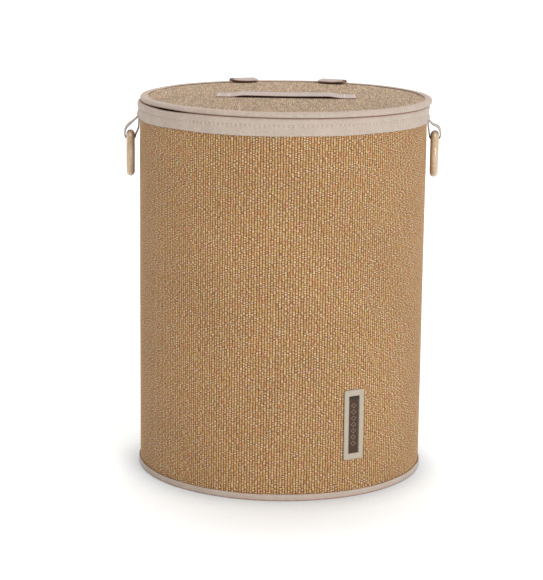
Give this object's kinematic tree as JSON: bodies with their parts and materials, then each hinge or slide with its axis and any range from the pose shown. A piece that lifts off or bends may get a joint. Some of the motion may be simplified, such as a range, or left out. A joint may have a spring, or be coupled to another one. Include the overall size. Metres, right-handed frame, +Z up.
{
  "type": "lidded round fabric storage bin",
  "caption": "Round woven fabric bin with a stiffened wall, a hinged fabric lid with a flat pull strap, and a wooden ring handle on each side.",
  "frame": {"origin": "centre of the base's underside, on the floor", "axes": "+Z up along the bin's axis, -Y towards the front, +X to the right as seen from the front"},
  "size_m": [0.422, 0.3866, 0.5033],
  "materials": {
    "woven_cloth": "matte",
    "lid_cloth": "matte",
    "cream_tape": "matte",
    "lining_cloth": "matte",
    "stiff_board": "matte",
    "ring_wood": "satin",
    "hoop_steel": "satin",
    "label_frame": "matte",
    "label_plate": "satin"
  },
  "bodies": {
    "bin": {"wall_outer_fabric": "woven_cloth", "wall_stiffener_board": "stiff_board", "wall_lining": "lining_cloth", "top_band": "cream_tape", "top_hoop_wire": "hoop_steel", "bottom_binding": "cream_tape", "base_cover": "lining_cloth", "base_board": "stiff_board", "base_lining": "lining_cloth", "hinge_strap_left": "cream_tape", "hinge_strap_right": "cream_tape", "label_frame": "label_frame", "label_plate": "label_plate"},
    "lid": {"lid_edge_binding": "cream_tape", "lid_top_fabric": "lid_cloth", "lid_board": "stiff_board", "lid_lining": "lining_cloth", "lid_pull_strap": "cream_tape"},
    "left_strap": {"left_handle_strap": "cream_tape"},
    "left_ring": {"left_handle_ring": "ring_wood"},
    "right_strap": {"right_handle_strap": "cream_tape"},
    "right_ring": {"right_handle_ring": "ring_wood"}
  },
  "joints": [
    {"name": "lid_hinge", "type": "hinge", "parent": "bin", "child": "lid", "pos_m": [0.0035, 0.1955, 0.5], "axis": [-1, 0, 0], "range_deg": [0, 255], "deforming": ["hinge_strap_left", "hinge_strap_right"]},
    {"name": "left_strap_swing", "type": "hinge", "parent": "bin", "child": "left_strap", "pos_m": [-0.1924, 0, 0.4684], "axis": [-0.0913, 0.9958, 0], "range_deg": [0, 90]},
    {"name": "left_ring_swing", "type": "hinge", "parent": "left_strap", "child": "left_ring", "pos_m": [-0.20296, -0.00097, 0.4458], "axis": [-0.0913, 0.9958, 0], "range_deg": [-2, 80]},
    {"name": "right_strap_swing", "type": "hinge", "parent": "bin", "child": "right_strap", "pos_m": [0.1924, 0, 0.4684], "axis": [-0.06, -0.9982, 0], "range_deg": [0, 90]},
    {"name": "right_ring_swing", "type": "hinge", "parent": "right_strap", "child": "right_ring", "pos_m": [0.20098, -0.00052, 0.4503], "axis": [-0.06, -0.9982, 0], "range_deg": [-2, 80]}
  ]
}
